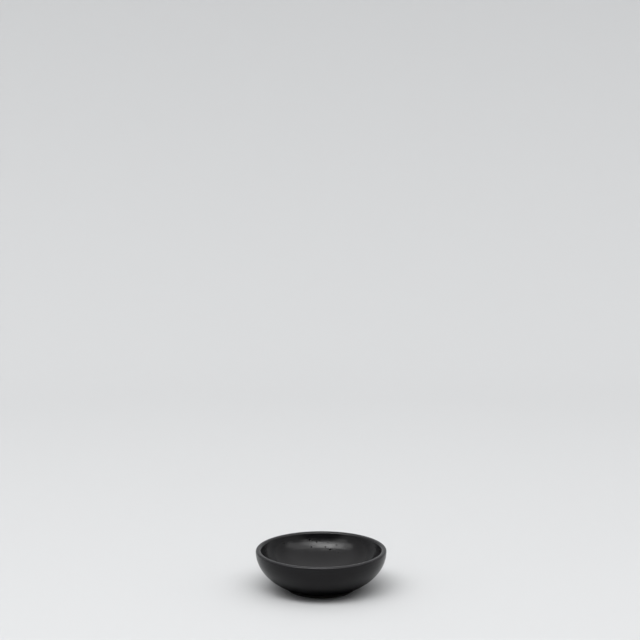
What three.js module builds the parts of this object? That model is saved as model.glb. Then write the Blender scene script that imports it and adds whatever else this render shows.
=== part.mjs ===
// Small round ramekin in black glazed stoneware: a thrown clay bowl on a turned foot ring, with a fired glaze
// over its outside, lip and well, and a patch of the same glaze in the recess under the foot.
// Millimetres, +Z up. The origin is on the axis, at the level that the foot ring stands on.

import * as THREE from 'three';

// Overall form, measured on the finished glaze.
const OUTER_DIAMETER = 90;
const HEIGHT = 28.4;
const LIP_THICKNESS = 3.8;
const LIP_OUTER_ROUND = 1.4;
const LIP_INNER_ROUND = 1.7;
const WELL_FLARE_DEGREES = 16;
const FLOOR_THICKNESS = 4.4;

// Foot ring, turned in bare clay.
const FOOT_DIAMETER = 46;
const FOOT_RING_HEIGHT = 1.5;
const FOOT_RING_WIDTH = 3.6;
const FOOT_EDGE_ROUND = 0.5;
const RECESS_DEPTH = 1.5;

// Glaze: its lower edge stops this far above the foot ring, and the patch under the foot this far inside it.
const GLAZE_THICKNESS = 0.45;
const GLAZE_LINE_RISE = 1.2;
const BASE_GLAZE_MARGIN = 1.2;
const BOND_GAP = 0.05;

// Facets: around the axis, and along each stretch of an outline.
const TURN_STEPS = 56;
const BELLY_STEPS = 9;
const WELL_STEPS = 11;
const ROUND_STEPS = 3;

const OUTER_RADIUS = OUTER_DIAMETER / 2;
const WIDEST_LEVEL = HEIGHT - LIP_OUTER_ROUND;
const FOOT_RADIUS = FOOT_DIAMETER / 2;
const RECESS_RADIUS = FOOT_RADIUS - FOOT_RING_WIDTH;

// The outside is part of an ellipsoid, from its widest line under the lip to the top of the foot ring. It
// would close this far under its widest line if no foot cut it off.
const BELLY_DROP = (WIDEST_LEVEL - FOOT_RING_HEIGHT) / Math.sqrt(1 - (FOOT_RADIUS / OUTER_RADIUS) ** 2);

// The inner round of the lip has its centre here, and ends at the mouth, where the wall of the well leans
// out by the flare.
const WELL_FLARE = THREE.MathUtils.degToRad(WELL_FLARE_DEGREES);
const ROUND_CENTRE_RADIUS = OUTER_RADIUS - LIP_THICKNESS + LIP_INNER_ROUND;
const ROUND_CENTRE_LEVEL = HEIGHT - LIP_INNER_ROUND;
const MOUTH_RADIUS = ROUND_CENTRE_RADIUS - LIP_INNER_ROUND * Math.cos(WELL_FLARE);
const MOUTH_LEVEL = ROUND_CENTRE_LEVEL + LIP_INNER_ROUND * Math.sin(WELL_FLARE);

// The well is part of another ellipsoid, from the mouth to its floor. The middle of that ellipsoid lies above
// the mouth by the share WELL_RISE of its half height, which gives the wall its flare.
const WELL_DEPTH = MOUTH_LEVEL - RECESS_DEPTH - FLOOR_THICKNESS;
const WELL_LEAN = (Math.tan(WELL_FLARE) * WELL_DEPTH) / MOUTH_RADIUS;
const WELL_RISE = WELL_LEAN / (1 - WELL_LEAN);
const WELL_HALF_HEIGHT = WELL_DEPTH / (1 - WELL_RISE);
const WELL_HALF_WIDTH = MOUTH_RADIUS / Math.sqrt(1 - WELL_RISE ** 2);
const WELL_MIDDLE_LEVEL = MOUTH_LEVEL + WELL_RISE * WELL_HALF_HEIGHT;

const BODY_INSET = GLAZE_THICKNESS + BOND_GAP;
const QUARTER_TURN = Math.PI / 2;

// Points on an arc of a circle or of an upright ellipse, as radius and height.
function arc(centreRadius, centreHeight, halfWidth, halfHeight, fromAngle, toAngle, steps) {
  const points = [];
  for (let step = 0; step <= steps; step += 1) {
    const angle = THREE.MathUtils.lerp(fromAngle, toAngle, step / steps);
    const radius = centreRadius + halfWidth * Math.cos(angle);
    points.push(new THREE.Vector2(radius, centreHeight + halfHeight * Math.sin(angle)));
  }
  return points;
}

// One outline from several stretches, without the points where one ends and the next begins.
function joined(...stretches) {
  const sameSpot = 1e-6;
  const points = stretches.flat();
  return points.filter((point, index) => index === 0 || point.distanceTo(points[index - 1]) > sameSpot);
}

// The bowl's surface from a point low on the belly, up the outside, over the lip and down to the middle of
// the well. The inset draws it that far under the finished glaze.
function bowlOutline(lowAngle, inset) {
  const outerRound = LIP_OUTER_ROUND - inset;
  const innerRound = LIP_INNER_ROUND - inset;
  const outerCentre = OUTER_RADIUS - LIP_OUTER_ROUND;
  const roundRadius = ROUND_CENTRE_RADIUS;
  const roundLevel = ROUND_CENTRE_LEVEL;
  const mouthAngle = Math.PI - WELL_FLARE;
  const wellStart = -Math.asin(WELL_RISE);
  const wellWidth = WELL_HALF_WIDTH + inset;
  const wellHeight = WELL_HALF_HEIGHT + inset;
  const outline = joined(
    arc(0, WIDEST_LEVEL, OUTER_RADIUS - inset, BELLY_DROP - inset, lowAngle, 0, BELLY_STEPS),
    arc(outerCentre, WIDEST_LEVEL, outerRound, outerRound, 0, QUARTER_TURN, ROUND_STEPS),
    arc(roundRadius, roundLevel, innerRound, innerRound, QUARTER_TURN, mouthAngle, ROUND_STEPS),
    arc(0, WELL_MIDDLE_LEVEL, wellWidth, wellHeight, wellStart, -QUARTER_TURN, WELL_STEPS).slice(1),
  );
  outline[outline.length - 1].x = 0;
  return outline;
}

// A solid of revolution about +Z from an outline that starts and ends on the axis.
function turned(name, outline, material) {
  const geometry = new THREE.LatheGeometry(outline, TURN_STEPS);
  geometry.rotateX(QUARTER_TURN);
  const mesh = new THREE.Mesh(geometry, material);
  mesh.name = name;
  return mesh;
}

const clay = new THREE.MeshStandardMaterial({
  name: 'bare_black_stoneware',
  color: 0x1d1b1a,
  roughness: 0.9,
  metalness: 0,
});
const glaze = new THREE.MeshStandardMaterial({
  name: 'black_satin_glaze',
  color: 0x19191b,
  roughness: 0.4,
  metalness: 0,
});

// Clay bowl: the recess under it, the foot ring with its rounded edges, then the belly, lip and well.
function stonewareBody() {
  const footAngle = -Math.acos(FOOT_RADIUS / (OUTER_RADIUS - BODY_INSET));
  const ringInside = RECESS_RADIUS + FOOT_EDGE_ROUND;
  const ringOutside = FOOT_RADIUS - FOOT_EDGE_ROUND;
  const edge = FOOT_EDGE_ROUND;
  const outline = joined(
    [new THREE.Vector2(0, RECESS_DEPTH), new THREE.Vector2(RECESS_RADIUS, RECESS_DEPTH)],
    arc(ringInside, edge, edge, edge, Math.PI, Math.PI + QUARTER_TURN, ROUND_STEPS),
    arc(ringOutside, edge, edge, edge, -QUARTER_TURN, 0, ROUND_STEPS),
    bowlOutline(footAngle, BODY_INSET),
  );
  return turned('stoneware_body', outline, clay);
}

// Glaze coat: one skin over the outside, the lip and the well, ending at the glaze line above the foot ring.
function glazeCoat() {
  const lineDrop = WIDEST_LEVEL - FOOT_RING_HEIGHT - GLAZE_LINE_RISE;
  const lineAngle = -Math.asin(lineDrop / BELLY_DROP);
  const inner = bowlOutline(lineAngle, GLAZE_THICKNESS);
  return turned('glaze_coat', joined(inner.reverse(), bowlOutline(lineAngle, 0)), glaze);
}

// Base glaze: a thin disc with a rounded edge, fused to the roof of the recess inside the foot ring.
function baseGlaze() {
  const top = RECESS_DEPTH - BOND_GAP;
  const flatRadius = RECESS_RADIUS - BASE_GLAZE_MARGIN - GLAZE_THICKNESS;
  const outline = joined(
    [new THREE.Vector2(0, top - GLAZE_THICKNESS)],
    arc(flatRadius, top, GLAZE_THICKNESS, GLAZE_THICKNESS, -QUARTER_TURN, 0, ROUND_STEPS),
    [new THREE.Vector2(0, top)],
  );
  return turned('base_glaze', outline, glaze);
}

const ramekin = new THREE.Group();
ramekin.add(stonewareBody(), glazeCoat(), baseGlaze());

export default ramekin;
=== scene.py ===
"""Black glazed stoneware ramekin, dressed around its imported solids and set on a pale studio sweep."""

import math
import random

import bmesh
import bpy
from bpy.props import FloatProperty, FloatVectorProperty, IntProperty, PointerProperty
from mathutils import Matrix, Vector, kdtree, noise


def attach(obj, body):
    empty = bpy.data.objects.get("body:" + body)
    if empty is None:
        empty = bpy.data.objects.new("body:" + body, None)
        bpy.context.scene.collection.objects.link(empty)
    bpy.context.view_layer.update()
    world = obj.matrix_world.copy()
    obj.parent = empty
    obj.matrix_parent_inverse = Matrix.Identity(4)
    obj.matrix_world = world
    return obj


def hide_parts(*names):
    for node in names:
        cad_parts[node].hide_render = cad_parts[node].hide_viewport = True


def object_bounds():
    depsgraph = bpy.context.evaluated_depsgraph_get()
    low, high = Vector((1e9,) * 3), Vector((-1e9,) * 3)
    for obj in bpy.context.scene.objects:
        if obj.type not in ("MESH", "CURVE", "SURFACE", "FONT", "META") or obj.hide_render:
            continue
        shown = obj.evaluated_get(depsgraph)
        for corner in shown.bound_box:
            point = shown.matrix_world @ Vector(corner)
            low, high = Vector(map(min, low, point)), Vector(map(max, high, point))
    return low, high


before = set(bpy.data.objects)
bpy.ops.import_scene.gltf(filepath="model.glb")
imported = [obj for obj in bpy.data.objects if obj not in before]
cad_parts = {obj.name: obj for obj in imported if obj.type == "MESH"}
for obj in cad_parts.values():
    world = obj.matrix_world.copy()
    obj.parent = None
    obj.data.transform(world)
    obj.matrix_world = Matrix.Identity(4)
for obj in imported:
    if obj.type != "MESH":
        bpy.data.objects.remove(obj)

bl_info = {
    "name": "Glazed ramekin",
    "version": (1, 0, 0),
    "blender": (4, 5, 0),
    "location": "View3D > Sidebar > Ramekin",
    "description": "Builds a black glazed stoneware ramekin around its solids, with its studio",
    "category": "Add Mesh",
}

CAD_LOW, CAD_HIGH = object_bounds()
MM = 0.001
FULL_TURN = 2 * math.pi
QUARTER_TURN = math.pi / 2

# Meshes: facets around the axis, and how far apart the rows of an outline lie.
TURNS = 360
SKIN_SPACING = 0.6 * MM
LIP_SPACING = 0.25 * MM
FOOT_SPACING = 0.3 * MM
EDGE_SPACING = 0.12 * MM
HIDDEN_SPACING = 1.2 * MM
LEAST_STEPS = 4
EDGE_STEPS = 8
SWEEP_TURNS = 128
SWEEP_SPACING = 30 * MM

# Points of an outline that lie closer than this are one point.
SAME_SPOT = 1e-8

# The layer of a mesh that holds how much of its relief each point shows.
RELIEF = "relief"

# Pinholes seen on the far wall of the well: how far right of the axis, at which level, and their radius.
WELL_PITS = (
    (6.3 * MM, 17.7 * MM, 0.85 * MM),
    (-8.0 * MM, 23.3 * MM, 0.75 * MM),
    (-3.1 * MM, 21.9 * MM, 0.5 * MM),
    (-6.8 * MM, 19.1 * MM, 0.6 * MM),
    (3.0 * MM, 19.0 * MM, 0.5 * MM),
    (10.8 * MM, 20.4 * MM, 0.4 * MM),
    (12.3 * MM, 16.4 * MM, 0.5 * MM),
    (-26.0 * MM, 23.4 * MM, 0.5 * MM),
)

# Small pinholes scattered on the near side of the well and on the back of the belly.
SCATTERED_PITS = 6
SMALL_PIT = (0.3 * MM, 0.5 * MM)
WELL_PIT_LEVELS = (7.0 * MM, 22.0 * MM)
BELLY_PIT_LEVELS = (9.0 * MM, 24.0 * MM)
NEAR_WELL = (math.radians(190), math.radians(350))
FAR_BELLY = (math.radians(20), math.radians(160))

# A pinhole's crater: its depth as a share of its radius, the share of the glaze that it goes through at
# most, the share of its radius that is raw, and the fine facets in it and around it.
PIT_DEPTH = 0.5
PIT_LIMIT = 0.8
RAW_SHARE = 0.8
PIT_MARGIN = 0.7 * MM
PIT_CUTS = 4

# Which way the fired rim draws in and sinks.
SWAY_START = math.radians(-70)
SINK_START = math.radians(-60)

# How often a glaze line strays around the bowl, and which cut through the noise each line takes.
LINE_LOBES = 3.0
COAT_LINE = 0.0
PATCH_LINE = 1.0

# Noise patterns: how many finer layers each adds to itself, and the values between which it comes to show.
CLOUD_DETAIL = 3.0
CRYSTAL_DETAIL = 2.0
DUST_DETAIL = 2.0
GRIT_DETAIL = 4.0
FIBRE_DETAIL = 2.0
CLOUD_SPAN = (0.3, 0.7)
CRYSTAL_SPAN = (0.52, 0.72)
GRIT_SPAN = (0.55, 0.75)

# Layers of the front scrim, which is brighter toward its middle: width, height, radiance, and how far to the
# right of the camera's side.
SCRIM_LAYERS = (
    (7200 * MM, 1300 * MM, 1.3, math.radians(13)),
    (5200 * MM, 1050 * MM, 2.0, math.radians(-18)),
    (2800 * MM, 800 * MM, 2.7, math.radians(-18)),
    (1260 * MM, 600 * MM, 2.9, math.radians(-18)),
)

# The room's light by direction: from wall to ceiling by how far it points up, and from the dark side behind
# the camera to the other walls by how far it points along +Y.
CEILING_SPAN = (0.62, 0.85)
DARK_SPAN = (-0.8, -0.6)

# What several node trees share: a soft way from one value to another, and two plain colours.
SMOOTH = {"interpolation_type": "SMOOTHSTEP"}
BLACK = (0.0, 0.0, 0.0, 1.0)
WHITE = (1.0, 1.0, 1.0, 1.0)


def linear(hex_colour):
    """An sRGB hex colour as linear red, green and blue."""
    channels = [int(hex_colour[i : i + 2], 16) / 255 for i in (1, 3, 5)]
    return tuple(c / 12.92 if c <= 0.04045 else ((c + 0.055) / 1.055) ** 2.4 for c in channels)


def length(name, description, millimetres):
    """A length property with its default given in millimetres."""
    size = millimetres * MM
    return FloatProperty(name=name, description=description, default=size, unit="LENGTH", precision=5)


def angle(name, description, degrees):
    """An angle property with its default given in degrees."""
    return FloatProperty(name=name, description=description, default=math.radians(degrees), subtype="ANGLE")


def share(name, description, value):
    """A number from 0 to 1."""
    return FloatProperty(name=name, description=description, default=value, min=0, max=1, subtype="FACTOR")


def strength(name, description, value):
    """A strength of light, where 1 is as bright as white."""
    return FloatProperty(name=name, description=description, default=value, min=0)


def optic(name, description, millimetres):
    """A size in the camera, which Blender keeps in millimetres."""
    return FloatProperty(name=name, description=description, default=millimetres, unit="CAMERA")


def colour(name, description, hex_colour):
    """A colour property with its default given as sRGB hex."""
    shade = linear(hex_colour)
    return FloatVectorProperty(name=name, description=description, default=shade, subtype="COLOR")


class RamekinSizes(bpy.types.PropertyGroup):
    """Sizes of the bowl, measured on the finished glaze."""

    outer_diameter: length(
        "Outer diameter", "Across the widest line, under the lip", (CAD_HIGH.x - CAD_LOW.x) / MM
    )
    height: length("Height", "From the foot to the top of the lip", (CAD_HIGH.z - CAD_LOW.z) / MM)
    lip_thickness: length("Lip thickness", "From the outside to the mouth", 3.8)
    lip_outer_round: length("Outer lip round", "Radius on the outside of the lip", 1.4)
    lip_inner_round: length("Inner lip round", "Radius on the mouth side of the lip", 1.7)
    well_flare: angle("Well flare", "How far the wall of the well leans out at the mouth", 16.0)
    floor_thickness: length("Floor thickness", "From the well's floor to the roof of the recess", 4.4)
    foot_diameter: length("Foot diameter", "Across the foot ring", 46.0)
    foot_ring_height: length("Foot ring height", "From the table to where the belly begins", 1.5)
    foot_ring_width: length("Foot ring width", "Across the bare ring", 3.6)
    foot_edge_round: length("Foot edge round", "Radius on both edges of the ring", 0.5)
    recess_depth: length("Recess depth", "Under the foot, inside the ring", 1.5)
    glaze_thickness: length("Glaze thickness", "Of the fired coat", 0.45)
    glaze_line_rise: length("Glaze line rise", "From the foot ring up to the edge of the glaze", 1.2)
    base_glaze_margin: length("Base glaze margin", "From the ring to the patch of glaze under the foot", 1.2)
    bond_gap: length("Bond gap", "Between the clay and the glaze", 0.05)
    wobble: length("Wobble", "How far the fired rim runs out of round", 0.15)
    sag: length("Sag", "How far the fired rim runs out of level", 0.12)
    roll_spacing: length("Roll spacing", "Of the broad waves in the glaze", 9.0)
    roll_depth: length("Roll depth", "Of the broad waves in the glaze", 0.03)
    peel_spacing: length("Peel spacing", "Of the fine waves in the glaze", 2.6)
    peel_depth: length("Peel depth", "Of the fine waves in the glaze", 0.012)
    ring_spacing: length("Throwing ring spacing", "From one finger ridge to the next", 3.4)
    ring_depth: length("Throwing ring depth", "Of the faint ridges left by the fingers", 0.012)
    bead: length("Glaze bead", "How far the glaze swells at its lower edge", 0.15)
    bead_width: length("Bead width", "How far up the belly the swelling reaches", 1.6)
    line_wave: length("Glaze line wave", "How far the glaze line strays up and down", 0.4)
    line_reach: length("Line reach", "How far up the belly the straying fades out", 3.0)
    tool_mark_spacing: length("Tool mark spacing", "Of the turned marks on the bare foot", 0.9)
    tool_mark_depth: length("Tool mark depth", "Of the turned marks on the bare foot", 0.05)

    @property
    def outer_radius(self):
        return self.outer_diameter / 2

    @property
    def widest_level(self):
        return self.height - self.lip_outer_round

    @property
    def foot_radius(self):
        return self.foot_diameter / 2

    @property
    def recess_radius(self):
        return self.foot_radius - self.foot_ring_width

    @property
    def belly_drop(self):
        """How far under its widest line the outside would close, if no foot cut it off."""
        reach = math.sqrt(1 - (self.foot_radius / self.outer_radius) ** 2)
        return (self.widest_level - self.foot_ring_height) / reach

    @property
    def glaze_line(self):
        """Level of the lower edge of the coat."""
        return self.foot_ring_height + self.glaze_line_rise

    @property
    def glaze_line_angle(self):
        """Where the lower edge of the coat lies on the arc of the belly."""
        return -math.asin((self.widest_level - self.glaze_line) / self.belly_drop)

    @property
    def body_inset(self):
        """How far the clay lies under the finished glaze."""
        return self.glaze_thickness + self.bond_gap

    @property
    def inner_centre(self):
        """Centre of the inner round of the lip, as radius and level."""
        radius = self.outer_radius - self.lip_thickness + self.lip_inner_round
        return (radius, self.height - self.lip_inner_round)

    @property
    def mouth_radius(self):
        """Where the inner round of the lip ends and the wall of the well begins."""
        return self.inner_centre[0] - self.lip_inner_round * math.cos(self.well_flare)

    @property
    def mouth_level(self):
        return self.inner_centre[1] + self.lip_inner_round * math.sin(self.well_flare)

    @property
    def well_depth(self):
        return self.mouth_level - self.recess_depth - self.floor_thickness

    @property
    def well_rise(self):
        """How far the middle of the well's ellipsoid lies above the mouth, as a share of its half height."""
        lean = math.tan(self.well_flare) * self.well_depth / self.mouth_radius
        return lean / (1 - lean)

    @property
    def well_half(self):
        """Half width and half height of the well's ellipsoid."""
        half_width = self.mouth_radius / math.sqrt(1 - self.well_rise**2)
        return (half_width, self.well_depth / (1 - self.well_rise))

    @property
    def well_middle(self):
        """Level of the middle of the well's ellipsoid."""
        return self.mouth_level + self.well_rise * self.well_half[1]

    def well_radius(self, level):
        half_width, half_height = self.well_half
        return half_width * math.sqrt(1 - ((self.well_middle - level) / half_height) ** 2)

    def belly_radius(self, level):
        return self.outer_radius * math.sqrt(1 - ((self.widest_level - level) / self.belly_drop) ** 2)


class RamekinFinish(bpy.types.PropertyGroup):
    """Colours and surface of the glaze and the clay."""

    glaze: colour("Glaze", "Black satin glaze where it lies thick", "#0c0b0d")
    # Paler glaze: thin glaze in the clouds, and over the lip also a painted highlight.
    thin_glaze_and_lip_highlight: colour("Thin glaze", "The same glaze where it breaks over the lip", "#29292b")
    pinhole: colour("Pinhole", "Raw glaze in the open pinholes", "#030303")
    soot: colour("Soot", "Paler dust in the pinholes", "#101010")
    clay: colour("Clay", "Bare fired black stoneware", "#1e1c1b")
    clay_grit: colour("Clay grit", "Paler grains in the bare clay", "#3b3833")
    # How pale the top of the lip is: partly glaze running thin, partly a painted highlight along the lip.
    lip_tint_and_highlight: share("Lip tint", "How much of the thin glaze's colour the top of the lip takes", 0.7)
    cloud_tint: share("Cloud tint", "How much of the thin glaze's colour the clouds bring", 0.1)
    glaze_roughness: share("Glaze roughness", "Of the satin glaze", 0.19)
    glaze_unevenness: share("Glaze unevenness", "How far its roughness strays in the clouds", 0.04)
    glaze_gloss: share("Glaze gloss", "Specular level of the satin glaze", 0.3)
    glaze_ior: FloatProperty(name="Glaze IOR", description="Of the fired glass", default=1.5, min=1)
    pinhole_roughness: share("Pinhole roughness", "Of the raw glaze", 0.9)
    pinhole_gloss: share("Pinhole gloss", "Specular level of the raw glaze", 0.05)
    clay_roughness: share("Clay roughness", "Of the dry clay", 0.85)
    clay_unevenness: share("Clay unevenness", "How far its roughness strays from grain to grain", 0.1)
    clay_gloss: share("Clay gloss", "Specular level of the dry clay", 0.25)
    clouds: length("Clouds", "Width of the cloudy patches in the glaze", 4.0)
    crystals: length("Crystals", "Width of the fine crystals in the glaze, as drawn", 1.9)
    crystal_relief: length("Crystal relief", "How far the crystals stand up", 0.018)
    grit: length("Grit", "Width of the grains in the clay", 0.8)
    grit_relief: length("Grit relief", "How far the grains stand up", 0.06)
    dust: length("Dust", "Width of the dust in the pinholes", 0.3)
    pit_seed: IntProperty(name="Pit seed", description="Starts the scatter of small pinholes", default=11)


class RamekinStudio(bpy.types.PropertyGroup):
    """Sweep, light and camera."""

    paper: colour("Paper", "Pale grey studio sweep", "#c6c7c8")
    paper_fibre: length("Paper fibre", "Width of the tooth of the paper, as drawn", 1.5)
    paper_roughness: share("Paper roughness", "Of the smoothest fibres", 0.9)
    paper_gloss: share("Paper gloss", "Specular level of the paper", 0.1)
    sweep_offset: length("Sweep offset", "From the bowl forward to the middle of the round sweep", 1000.0)
    floor_radius: length("Floor radius", "Of the sweep's flat floor", 1600.0)
    bend_radius: length("Bend radius", "Where the sweep turns up", 600.0)
    wall_height: length("Wall height", "Of the sweep", 700.0)
    # The painted shadow on the paper for bouncing light: its reach, and the share of light it lets through at
    # the foot and further out.
    contact_reach: length("Contact reach", "How far from the axis the dim floor at the foot reaches", 50.0)
    contact_light: share("Contact light", "Share of its light that the floor throws up at the foot", 0.03)
    floor_light: share("Floor light", "Share of its light that the floor throws up further out", 0.78)
    light_distance: length("Light distance", "From the bowl to the front scrim", 3000.0)
    layer_gap: length("Layer gap", "Between layers of the scrim, so that none hides another", 20.0)
    light_elevation: angle("Light elevation", "Of the front scrim, seen from the bowl", 63.0)
    ceiling_light: strength("Ceiling light", "Of the pale ceiling", 1.0)
    wall_light: strength("Wall light", "Of the dimmer walls", 0.6)
    dark_side: strength("Dark side", "Of the room behind the camera", 0.02)
    focal_length: optic("Lens", "Focal length", 127.5)
    sensor_width: optic("Sensor", "Sensor width", 36.0)
    camera_back: length("Camera distance", "In front of the bowl's axis", 1500.2)
    camera_height: length("Camera height", "Above the floor", 472.0)
    camera_aside: length("Camera aside", "To the left of the bowl's axis", 0.76)
    camera_pitch: angle("Camera pitch", "How far the camera looks down", 10.71)


def unit(wave):
    """A wave between -1 and 1 as a share between 0 and 1."""
    return 0.5 + 0.5 * wave


def around(radius, azimuth, level):
    """A point at a radius, azimuth and level."""
    return Vector((radius * math.cos(azimuth), radius * math.sin(azimuth), level))


def arc(centre, half, start, end, spacing):
    """Points of a circle or an upright ellipse as (radius, level), about the spacing apart."""
    steps = max(LEAST_STEPS, math.ceil(abs(end - start) * max(half) / spacing))
    angles = [start + (end - start) * step / steps for step in range(steps + 1)]
    return [(centre[0] + half[0] * math.cos(a), centre[1] + half[1] * math.sin(a)) for a in angles]


def level_line(level, start, end, spacing):
    """Points of a level stretch from one radius to another as (radius, level), about the spacing apart."""
    steps = max(1, math.ceil(abs(end - start) / spacing))
    return [(start + (end - start) * step / steps, level) for step in range(steps + 1)]


def joined(*stretches):
    """One outline from several stretches, without doubled points where they meet."""
    points = [point for stretch in stretches for point in stretch]
    return [p for i, p in enumerate(points) if i == 0 or math.dist(p, points[i - 1]) > SAME_SPOT]


def bowl_outline(sizes, low_angle, inset, spacing):
    """The bowl's surface from low on the belly, up over the lip and down to the middle of the well."""
    outer_round = sizes.lip_outer_round - inset
    inner_round = sizes.lip_inner_round - inset
    lip_spacing = min(spacing, LIP_SPACING)
    belly = (sizes.outer_radius - inset, sizes.belly_drop - inset)
    well = (sizes.well_half[0] + inset, sizes.well_half[1] + inset)
    outer_centre = (sizes.outer_radius - sizes.lip_outer_round, sizes.widest_level)
    mouth_angle = math.pi - sizes.well_flare
    outline = joined(
        arc((0, sizes.widest_level), belly, low_angle, 0, spacing),
        arc(outer_centre, (outer_round, outer_round), 0, QUARTER_TURN, lip_spacing),
        arc(sizes.inner_centre, (inner_round, inner_round), QUARTER_TURN, mouth_angle, lip_spacing),
        arc((0, sizes.well_middle), well, -math.asin(sizes.well_rise), -QUARTER_TURN, spacing)[1:],
    )
    outline[-1] = (0.0, outline[-1][1])
    return outline


def rolled_edge(inner, outer):
    """A half round from a point on the clay to one on the outside, as glaze draws up at its lower edge."""
    middle = ((inner[0] + outer[0]) / 2, (inner[1] + outer[1]) / 2)
    half = ((outer[0] - inner[0]) / 2, (outer[1] - inner[1]) / 2)
    points = []
    for step in range(EDGE_STEPS + 1):
        across = math.cos(math.pi * step / EDGE_STEPS)
        down = math.sin(math.pi * step / EDGE_STEPS)
        radius = middle[0] - half[0] * across + half[1] * down
        points.append((radius, middle[1] - half[1] * across - half[0] * down))
    return points


def turned(*stretches, turns=TURNS):
    """A skin about +Z from the stretches of an outline, each with how much of its relief it shows."""
    mesh = bmesh.new()
    relief = mesh.verts.layers.float.new(RELIEF)
    rings = []
    for outline, amount in stretches:
        for radius, level in outline:
            count = turns if radius > SAME_SPOT else 1
            ring = [mesh.verts.new(around(radius, FULL_TURN * turn / count, level)) for turn in range(count)]
            for vert in ring:
                vert[relief] = amount
            rings.append(ring)
    for low, high in zip(rings, rings[1:]):
        for turn in range(turns):
            here = (low[turn % len(low)], high[turn % len(high)])
            ahead = (low[(turn + 1) % len(low)], high[(turn + 1) % len(high)])
            mesh.faces.new(dict.fromkeys((here[0], ahead[0], ahead[1], here[1])))
    return mesh


def fired(sizes, point):
    """Where a point of the true form comes to lie in the kiln: the rim draws in and sinks a little."""
    reach = (point.z / sizes.height) ** 2
    azimuth = math.atan2(point.y, point.x)
    sway = unit(-math.cos(2 * azimuth + SWAY_START))
    sink = unit(-math.cos(azimuth + SINK_START))
    inward = 1 - sizes.wobble * reach * sway / sizes.outer_radius
    return Vector((point.x * inward, point.y * inward, point.z - sizes.sag * reach * sink))


def press_in(mesh, sizes, depth_at):
    """Presses the skin in along its normals by the depth at each point, then fires the form."""
    relief = mesh.verts.layers.float[RELIEF]
    mesh.normal_update()
    places = [vert.co - vert.normal * (depth_at(vert.co) * vert[relief]) for vert in mesh.verts]
    for vert, place in zip(mesh.verts, places):
        vert.co = fired(sizes, place)


def smooth_object(name, mesh, *materials):
    """A smooth object in the scene from the mesh, with its materials."""
    data = bpy.data.meshes.new(name)
    mesh.to_mesh(data)
    mesh.free()
    data.shade_smooth()
    for material in materials:
        data.materials.append(material)
    made = bpy.data.objects.new(name, data)
    bpy.context.scene.collection.objects.link(made)
    return made


def finished_piece(name, mesh, node, slot, *materials):
    """A piece of the bowl, which hangs on the root body, hides its solid and takes its finish."""
    piece = smooth_object(name, mesh, *materials)
    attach(piece, "root")
    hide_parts(node)


def add(tree, kind, settings=None, inputs=None):
    """One node: a socket that is given as an input is linked, and anything else is the input's value."""
    made = tree.nodes.new(kind)
    for name, value in (settings or {}).items():
        setattr(made, name, value)
    for name, value in (inputs or {}).items():
        if isinstance(value, bpy.types.NodeSocket):
            tree.links.new(value, made.inputs[name])
        else:
            made.inputs[name].default_value = value
    return made


def opaque(shade):
    """A colour property as a node's colour input takes it."""
    return (*shade, 1.0)


def blank_material(name):
    """A material with an empty node tree."""
    material = bpy.data.materials.new(name)
    material.use_nodes = True
    material.node_tree.nodes.clear()
    return material


def satin_glaze(sizes, finish):
    """Black satin stoneware glaze, dipped and fired."""
    # Fine crystals on the glass break up the light's reflection, and its sheen is cloudy. It is a little
    # paler over the top of the lip, partly where it runs thin and partly as a painted highlight along the
    # lip. Real crystals are far finer, and are drawn coarse so as to show.
    material = blank_material("black_satin_glaze")
    tree = material.node_tree
    place = add(tree, "ShaderNodeTexCoord").outputs["Object"]
    cloud = add(
        tree,
        "ShaderNodeTexNoise",
        inputs={"Vector": place, "Scale": 1 / finish.clouds, "Detail": CLOUD_DETAIL},
    )
    grain = add(
        tree,
        "ShaderNodeTexNoise",
        inputs={"Vector": place, "Scale": 1 / finish.crystals, "Detail": CRYSTAL_DETAIL},
    )
    level = add(tree, "ShaderNodeSeparateXYZ", inputs={"Vector": place})
    # Paler towards the top of the lip: glaze running thin there, and a painted highlight along the lip.
    lip = add(
        tree,
        "ShaderNodeMapRange",
        SMOOTH,
        inputs={
            "Value": level.outputs["Z"],
            "From Min": sizes.widest_level,
            "From Max": sizes.height,
            "To Max": finish.lip_tint_and_highlight,
        },
    )
    thin = add(
        tree,
        "ShaderNodeMath",
        settings={"operation": "MULTIPLY_ADD", "use_clamp": True},
        inputs={0: cloud.outputs["Fac"], 1: finish.cloud_tint, 2: lip.outputs["Result"]},
    )
    shade = add(
        tree,
        "ShaderNodeMixRGB",
        inputs={
            "Fac": thin.outputs[0],
            "Color1": opaque(finish.glaze),
            "Color2": opaque(finish.thin_glaze_and_lip_highlight),
        },
    )
    rough = add(
        tree,
        "ShaderNodeMapRange",
        inputs={
            "Value": cloud.outputs["Fac"],
            "From Min": CLOUD_SPAN[0],
            "From Max": CLOUD_SPAN[1],
            "To Min": finish.glaze_roughness - finish.glaze_unevenness,
            "To Max": finish.glaze_roughness + finish.glaze_unevenness,
        },
    )
    specks = add(
        tree,
        "ShaderNodeMapRange",
        SMOOTH,
        inputs={"Value": grain.outputs["Fac"], "From Min": CRYSTAL_SPAN[0], "From Max": CRYSTAL_SPAN[1]},
    )
    crust = add(
        tree,
        "ShaderNodeBump",
        inputs={"Height": specks.outputs["Result"], "Distance": finish.crystal_relief},
    )
    skin = add(
        tree,
        "ShaderNodeBsdfPrincipled",
        inputs={
            "Base Color": shade.outputs["Color"],
            "Roughness": rough.outputs["Result"],
            "Normal": crust.outputs["Normal"],
            "IOR": finish.glaze_ior,
            "Specular IOR Level": finish.glaze_gloss,
        },
    )
    add(tree, "ShaderNodeOutputMaterial", inputs={"Surface": skin.outputs["BSDF"]})
    return material


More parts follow.
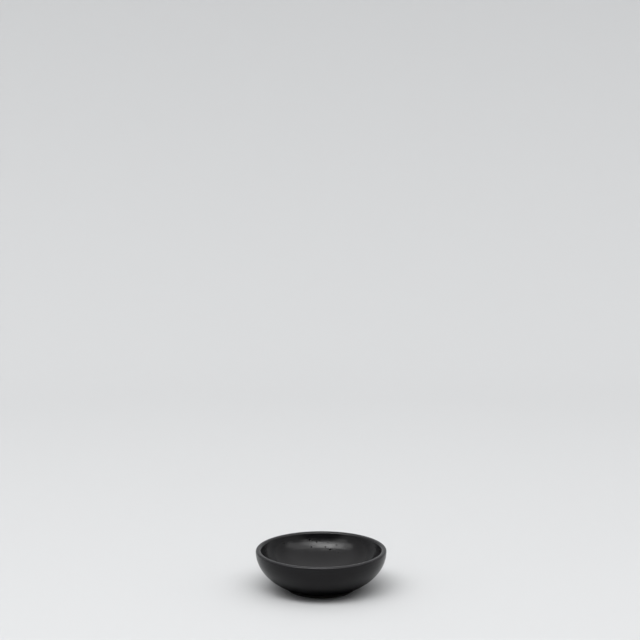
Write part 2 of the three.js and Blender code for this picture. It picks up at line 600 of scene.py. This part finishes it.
def burst_glaze(finish):
    """Glaze that bubbled and burst in the kiln, and didn't heal over."""
    # Raw and dull with a little dust in it, so that a pinhole reads as a black dot in the sheen.
    material = blank_material("burst_glaze")
    tree = material.node_tree
    place = add(tree, "ShaderNodeTexCoord").outputs["Object"]
    dust = add(
        tree,
        "ShaderNodeTexNoise",
        inputs={"Vector": place, "Scale": 1 / finish.dust, "Detail": DUST_DETAIL},
    )
    shade = add(
        tree,
        "ShaderNodeMixRGB",
        inputs={
            "Fac": dust.outputs["Fac"],
            "Color1": opaque(finish.pinhole),
            "Color2": opaque(finish.soot),
        },
    )
    skin = add(
        tree,
        "ShaderNodeBsdfPrincipled",
        inputs={
            "Base Color": shade.outputs["Color"],
            "Roughness": finish.pinhole_roughness,
            "Specular IOR Level": finish.pinhole_gloss,
        },
    )
    add(tree, "ShaderNodeOutputMaterial", inputs={"Surface": skin.outputs["BSDF"]})
    return material


def bare_stoneware(finish):
    """Black stoneware, turned on the wheel and left bare."""
    # Dry and matt, with paler grit in a dark ground, and a tooth that the turning tool pulled up.
    material = blank_material("bare_black_stoneware")
    tree = material.node_tree
    place = add(tree, "ShaderNodeTexCoord").outputs["Object"]
    grain = add(
        tree,
        "ShaderNodeTexNoise",
        inputs={"Vector": place, "Scale": 1 / finish.grit, "Detail": GRIT_DETAIL},
    )
    grit = add(
        tree,
        "ShaderNodeMapRange",
        SMOOTH,
        inputs={"Value": grain.outputs["Fac"], "From Min": GRIT_SPAN[0], "From Max": GRIT_SPAN[1]},
    )
    shade = add(
        tree,
        "ShaderNodeMixRGB",
        inputs={
            "Fac": grit.outputs["Result"],
            "Color1": opaque(finish.clay),
            "Color2": opaque(finish.clay_grit),
        },
    )
    rough = add(
        tree,
        "ShaderNodeMapRange",
        inputs={
            "Value": grain.outputs["Fac"],
            "To Min": finish.clay_roughness - finish.clay_unevenness,
            "To Max": finish.clay_roughness + finish.clay_unevenness,
        },
    )
    tooth = add(
        tree,
        "ShaderNodeBump",
        inputs={"Height": grain.outputs["Fac"], "Distance": finish.grit_relief},
    )
    skin = add(
        tree,
        "ShaderNodeBsdfPrincipled",
        inputs={
            "Base Color": shade.outputs["Color"],
            "Roughness": rough.outputs["Result"],
            "Normal": tooth.outputs["Normal"],
            "Specular IOR Level": finish.clay_gloss,
        },
    )
    add(tree, "ShaderNodeOutputMaterial", inputs={"Surface": skin.outputs["BSDF"]})
    return material


def paper_with_painted_contact_shade(studio, sizes):
    """Pale grey background paper, with a painted shadow around the foot for light that bounces."""
    # Matt, with the faint tooth of its fibres, drawn coarser than real ones so as to show. For light that
    # bounces, its colour is painted darker than it shows: somewhat darker further out, and almost black close
    # around the foot, a painted shadow that keeps the belly black.
    material = blank_material("pale_grey_paper_with_painted_shade")
    tree = material.node_tree
    place = add(tree, "ShaderNodeTexCoord").outputs["Object"]
    fibre = add(
        tree,
        "ShaderNodeTexNoise",
        inputs={"Vector": place, "Scale": 1 / studio.paper_fibre, "Detail": FIBRE_DETAIL},
    )
    rough = add(
        tree,
        "ShaderNodeMapRange",
        inputs={"Value": fibre.outputs["Fac"], "To Min": studio.paper_roughness, "To Max": 1.0},
    )
    away = add(
        tree,
        "ShaderNodeVectorMath",
        settings={"operation": "DISTANCE"},
        inputs={0: place, 1: (0.0, studio.sweep_offset, 0.0)},
    )
    # Painted shadow: the paper's colour for bouncing light, near black at the foot and paler further out.
    painted_contact_shade = add(
        tree,
        "ShaderNodeMapRange",
        SMOOTH,
        inputs={
            "Value": away.outputs["Value"],
            "From Min": sizes.foot_radius,
            "From Max": studio.contact_reach,
            "To Min": studio.contact_light,
            "To Max": studio.floor_light,
        },
    )
    # The camera sees the plain paper; only bouncing light gets the painted shadow.
    ray = add(tree, "ShaderNodeLightPath")
    seen = add(
        tree,
        "ShaderNodeMath",
        settings={"operation": "MAXIMUM"},
        inputs={0: painted_contact_shade.outputs["Result"], 1: ray.outputs["Is Camera Ray"]},
    )
    shade = add(
        tree,
        "ShaderNodeMixRGB",
        inputs={"Fac": seen.outputs[0], "Color1": BLACK, "Color2": opaque(studio.paper)},
    )
    skin = add(
        tree,
        "ShaderNodeBsdfPrincipled",
        inputs={
            "Base Color": shade.outputs["Color"],
            "Roughness": rough.outputs["Result"],
            "Specular IOR Level": studio.paper_gloss,
        },
    )
    add(tree, "ShaderNodeOutputMaterial", inputs={"Surface": skin.outputs["BSDF"]})
    return material


def pinholes(sizes, finish):
    """Every pinhole in the glaze, as its place and radius."""
    pits = []
    for aside, level, radius in WELL_PITS:
        back = math.sqrt(sizes.well_radius(level) ** 2 - aside**2)
        pits.append((Vector((aside, back, level)), radius))
    walls = (
        (sizes.well_radius, WELL_PIT_LEVELS, NEAR_WELL),
        (sizes.belly_radius, BELLY_PIT_LEVELS, FAR_BELLY),
    )
    draw = random.Random(finish.pit_seed)
    for _ in range(SCATTERED_PITS):
        for radius_at, levels, headings in walls:
            level = draw.uniform(*levels)
            place = around(radius_at(level), draw.uniform(*headings), level)
            pits.append((place, draw.uniform(*SMALL_PIT)))
    return pits


def nearest_pit(pits):
    """A function that gives the radius of the pinhole nearest to a point, and how far off its middle is."""
    middles = kdtree.KDTree(len(pits))
    for index, (place, _) in enumerate(pits):
        middles.insert(place, index)
    middles.balance()

    def nearest(point):
        _, index, distance = middles.find(point)
        return pits[index][1], distance

    return nearest


def divide_around(mesh, pits):
    """Divides the skin finely around each pinhole, so that its crater is round."""
    for place, radius in pits:
        reach = radius + PIT_MARGIN
        faces = [face for face in mesh.faces if (face.calc_center_median() - place).length < reach]
        edges = list(dict.fromkeys(edge for face in faces for edge in face.edges))
        bmesh.ops.subdivide_edges(mesh, edges=edges, cuts=PIT_CUTS, use_grid_fill=True)


def line_lobe(heading, line):
    """How far a glaze line strays at a heading, as a share of its greatest stray either way."""
    return noise.noise((*(heading * LINE_LOBES), line))


def rolls(sizes, point):
    """How deep the broad waves in the glaze are at a point."""
    return sizes.roll_depth * unit(noise.noise(point / sizes.roll_spacing))


def dipped_coat(sizes):
    """The coat as it is dipped: a skin over the clay, swollen and rolled up at its lower edge."""
    interface = bowl_outline(sizes, sizes.glaze_line_angle, sizes.glaze_thickness, HIDDEN_SPACING)
    outside = []
    for radius, level in bowl_outline(sizes, sizes.glaze_line_angle, 0.0, SKIN_SPACING):
        swelling = max(0.0, 1 - (level - sizes.glaze_line) / sizes.bead_width)
        outside.append((radius + sizes.bead * swelling**2, level))
    edge = rolled_edge(interface[0], outside[0])
    return turned((interface[::-1], 0.0), (joined(edge[1:], outside), 1.0))


def stray_line(mesh, sizes):
    """Lets the coat's lower edge stray up and down the belly."""
    out_part = -math.sin(sizes.glaze_line_angle) * sizes.outer_radius
    up_part = math.cos(sizes.glaze_line_angle) * sizes.belly_drop
    up_belly = Vector((out_part, up_part)).normalized()
    for vert in mesh.verts:
        flat = vert.co.xy
        fade = 1 - (vert.co.z - sizes.glaze_line) / sizes.line_reach
        if flat.length > sizes.foot_radius and fade > 0:
            heading = flat.normalized()
            stray = sizes.line_wave * min(fade, 1.0) ** 2 * line_lobe(heading, COAT_LINE)
            vert.co += stray * Vector((*(heading * up_belly.x), up_belly.y))


class RAMEKIN_OT_body(bpy.types.Operator):
    """Throws the clay bowl and turns its bare foot ring, with tool marks"""

    bl_idname = "ramekin.body"
    bl_label = "Stoneware body"

    def execute(self, context):
        sizes = context.scene.ramekin_sizes
        edge = sizes.foot_edge_round
        inside = sizes.recess_radius + edge
        outside = sizes.foot_radius - edge
        foot_angle = -math.acos(sizes.foot_radius / (sizes.outer_radius - sizes.body_inset))
        outline = joined(
            level_line(sizes.recess_depth, 0.0, sizes.recess_radius, FOOT_SPACING),
            arc((inside, edge), (edge, edge), math.pi, math.pi + QUARTER_TURN, EDGE_SPACING),
            level_line(0.0, inside, outside, FOOT_SPACING),
            arc((outside, edge), (edge, edge), -QUARTER_TURN, 0, EDGE_SPACING),
            bowl_outline(sizes, foot_angle, sizes.body_inset, HIDDEN_SPACING),
        )

        def tool_mark(point):
            if point.z > sizes.glaze_line:
                return 0.0
            along = (point.xy.length + point.z) / sizes.tool_mark_spacing
            return sizes.tool_mark_depth * unit(math.cos(FULL_TURN * along))

        mesh = turned((outline, 1.0))
        press_in(mesh, sizes, tool_mark)
        material = bare_stoneware(context.scene.ramekin_finish)
        finished_piece("bare_stoneware_bowl", mesh, "stoneware_body", "clay", material)
        return {"FINISHED"}


class RAMEKIN_OT_glaze_coat(bpy.types.Operator):
    """Glazes the outside, the lip and the well, with a swollen lower edge, soft waves and pinholes"""

    bl_idname = "ramekin.glaze_coat"
    bl_label = "Glaze coat"

    def execute(self, context):
        sizes = context.scene.ramekin_sizes
        finish = context.scene.ramekin_finish
        mesh = dipped_coat(sizes)
        stray_line(mesh, sizes)
        pits = pinholes(sizes, finish)
        divide_around(mesh, pits)
        nearest = nearest_pit(pits)

        def depth(point):
            peel = sizes.peel_depth * unit(noise.noise(point / sizes.peel_spacing))
            along = (point.xy.length + point.z) / sizes.ring_spacing
            ring = sizes.ring_depth * unit(math.cos(FULL_TURN * along))
            radius, distance = nearest(point)
            crater = PIT_DEPTH * radius * max(0.0, 1 - (distance / radius) ** 2) ** 2
            return rolls(sizes, point) + peel + ring + min(crater, PIT_LIMIT * sizes.glaze_thickness)

        for face in mesh.faces:
            radius, distance = nearest(face.calc_center_median())
            face.material_index = int(distance < RAW_SHARE * radius)
        press_in(mesh, sizes, depth)
        glazes = (satin_glaze(sizes, finish), burst_glaze(finish))
        finished_piece("satin_glaze_coat", mesh, "glaze_coat", "glaze", *glazes)
        return {"FINISHED"}


class RAMEKIN_OT_base_glaze(bpy.types.Operator):
    """Lays the patch of glaze in the recess under the foot, with a rounded and slightly uneven edge"""

    bl_idname = "ramekin.base_glaze"
    bl_label = "Base glaze"

    def execute(self, context):
        sizes = context.scene.ramekin_sizes
        roof = sizes.recess_depth - sizes.bond_gap
        thick = sizes.glaze_thickness
        flat = sizes.recess_radius - sizes.base_glaze_margin - thick
        face = joined(
            level_line(roof - thick, 0.0, flat, SKIN_SPACING),
            arc((flat, roof), (thick, thick), -QUARTER_TURN, 0, EDGE_SPACING),
        )
        mesh = turned((face, 1.0), ([(0.0, roof)], 0.0))
        for vert in mesh.verts:
            out = vert.co.xy
            vert.co.xy = out * (1 + sizes.line_wave * line_lobe(out.normalized(), PATCH_LINE) / flat)
        press_in(mesh, sizes, lambda point: rolls(sizes, point))
        material = bpy.data.materials["black_satin_glaze"]
        finished_piece("base_glaze_patch", mesh, "base_glaze", "glaze", material)
        return {"FINISHED"}


def paper_sweep(studio, sizes):
    """The round sheet of paper under and behind the bowl, which turns up into a low wall."""
    bend = studio.bend_radius
    outline = joined(
        level_line(0.0, 0.0, studio.floor_radius, studio.floor_radius),
        arc((studio.floor_radius, bend), (bend, bend), -QUARTER_TURN, 0, SWEEP_SPACING),
        [(studio.floor_radius + bend, studio.wall_height)],
    )
    mesh = turned((outline[::-1], 0.0), turns=SWEEP_TURNS)
    sweep = smooth_object("paper_sweep", mesh, paper_with_painted_contact_shade(studio, sizes))
    sweep.location.y = -studio.sweep_offset


def front_scrim(studio):
    """The large soft light in front of the bowl and above it, in layers of growing brightness."""
    for layer, (width, height, radiance, azimuth) in enumerate(SCRIM_LAYERS):
        lamp = bpy.data.lights.new("front_scrim", "AREA")
        lamp.shape = "RECTANGLE"
        lamp.size = width
        lamp.size_y = height
        lamp.energy = math.pi * radiance * width * height
        panel = bpy.data.objects.new("front_scrim", lamp)
        reach = studio.light_distance - studio.layer_gap * layer
        ahead = reach * math.cos(studio.light_elevation)
        above = reach * math.sin(studio.light_elevation)
        panel.location = around(ahead, azimuth - QUARTER_TURN, above)
        panel.rotation_euler = (QUARTER_TURN - studio.light_elevation, 0.0, azimuth)
        bpy.context.scene.collection.objects.link(panel)


def studio_room(studio):
    """The room's own light: a pale ceiling, dimmer walls, and a dark side behind the camera."""
    room = bpy.data.worlds.new("studio_room")
    room.use_nodes = True
    tree = room.node_tree
    tree.nodes.clear()
    heading = add(tree, "ShaderNodeTexCoord")
    way = add(tree, "ShaderNodeSeparateXYZ", inputs={"Vector": heading.outputs["Generated"]})
    front = add(
        tree,
        "ShaderNodeMapRange",
        SMOOTH,
        inputs={
            "Value": way.outputs["Y"],
            "From Min": DARK_SPAN[0],
            "From Max": DARK_SPAN[1],
            "To Min": 1.0,
            "To Max": 0.0,
        },
    )
    low = add(
        tree,
        "ShaderNodeMapRange",
        SMOOTH,
        inputs={
            "Value": way.outputs["Z"],
            "From Min": CEILING_SPAN[0],
            "From Max": CEILING_SPAN[1],
            "To Min": 1.0,
            "To Max": 0.0,
        },
    )
    surround = add(
        tree,
        "ShaderNodeMapRange",
        inputs={
            "Value": low.outputs["Result"],
            "To Min": studio.ceiling_light,
            "To Max": studio.wall_light,
        },
    )
    behind_camera = add(
        tree,
        "ShaderNodeMath",
        settings={"operation": "MULTIPLY"},
        inputs={0: front.outputs["Result"], 1: low.outputs["Result"]},
    )
    brightness = add(
        tree,
        "ShaderNodeMapRange",
        inputs={
            "Value": behind_camera.outputs[0],
            "To Min": surround.outputs["Result"],
            "To Max": studio.dark_side,
        },
    )
    glow = add(
        tree,
        "ShaderNodeBackground",
        inputs={"Color": WHITE, "Strength": brightness.outputs["Result"]},
    )
    add(tree, "ShaderNodeOutputWorld", inputs={"Surface": glow.outputs["Background"]})
    bpy.context.scene.world = room


def photo_camera(studio):
    """The camera, in front of the bowl and above it."""
    lens = bpy.data.cameras.new("photo_camera")
    lens.lens = studio.focal_length
    lens.sensor_width = studio.sensor_width
    camera = bpy.data.objects.new("photo_camera", lens)
    camera.location = (-studio.camera_aside, -studio.camera_back, studio.camera_height)
    camera.rotation_euler.x = QUARTER_TURN - studio.camera_pitch
    bpy.context.scene.collection.objects.link(camera)
    bpy.context.scene.camera = camera


class RAMEKIN_OT_studio(bpy.types.Operator):
    """Sets up the round paper sweep, the front scrim, the room's own light and the camera"""

    bl_idname = "ramekin.studio"
    bl_label = "Studio"

    def execute(self, context):
        studio = context.scene.ramekin_studio
        paper_sweep(studio, context.scene.ramekin_sizes)
        front_scrim(studio)
        studio_room(studio)
        photo_camera(studio)
        context.scene.view_settings.view_transform = "Standard"
        return {"FINISHED"}


OPERATORS = (RAMEKIN_OT_studio, RAMEKIN_OT_body, RAMEKIN_OT_glaze_coat, RAMEKIN_OT_base_glaze)


class RAMEKIN_PT_panel(bpy.types.Panel):
    """Sizes, finish and studio of the ramekin, and its building steps"""

    bl_idname = "RAMEKIN_PT_panel"
    bl_label = "Ramekin"
    bl_space_type = "VIEW_3D"
    bl_region_type = "UI"
    bl_category = "Ramekin"

    def draw(self, context):
        scene = context.scene
        for group in (scene.ramekin_sizes, scene.ramekin_finish, scene.ramekin_studio):
            column = self.layout.column(align=True)
            for name in group.__annotations__:
                column.prop(group, name)
        for operator in OPERATORS:
            self.layout.operator(operator.bl_idname)


CLASSES = (RamekinSizes, RamekinFinish, RamekinStudio, *OPERATORS, RAMEKIN_PT_panel)


def register():
    for cls in CLASSES:
        bpy.utils.register_class(cls)
    bpy.types.Scene.ramekin_sizes = PointerProperty(type=RamekinSizes)
    bpy.types.Scene.ramekin_finish = PointerProperty(type=RamekinFinish)
    bpy.types.Scene.ramekin_studio = PointerProperty(type=RamekinStudio)


def unregister():
    del bpy.types.Scene.ramekin_studio
    del bpy.types.Scene.ramekin_finish
    del bpy.types.Scene.ramekin_sizes
    for cls in reversed(CLASSES):
        bpy.utils.unregister_class(cls)


def main():
    register()
    bpy.ops.ramekin.studio()
    bpy.ops.ramekin.body()
    bpy.ops.ramekin.glaze_coat()
    bpy.ops.ramekin.base_glaze()


if __name__ == "__main__":
    main()
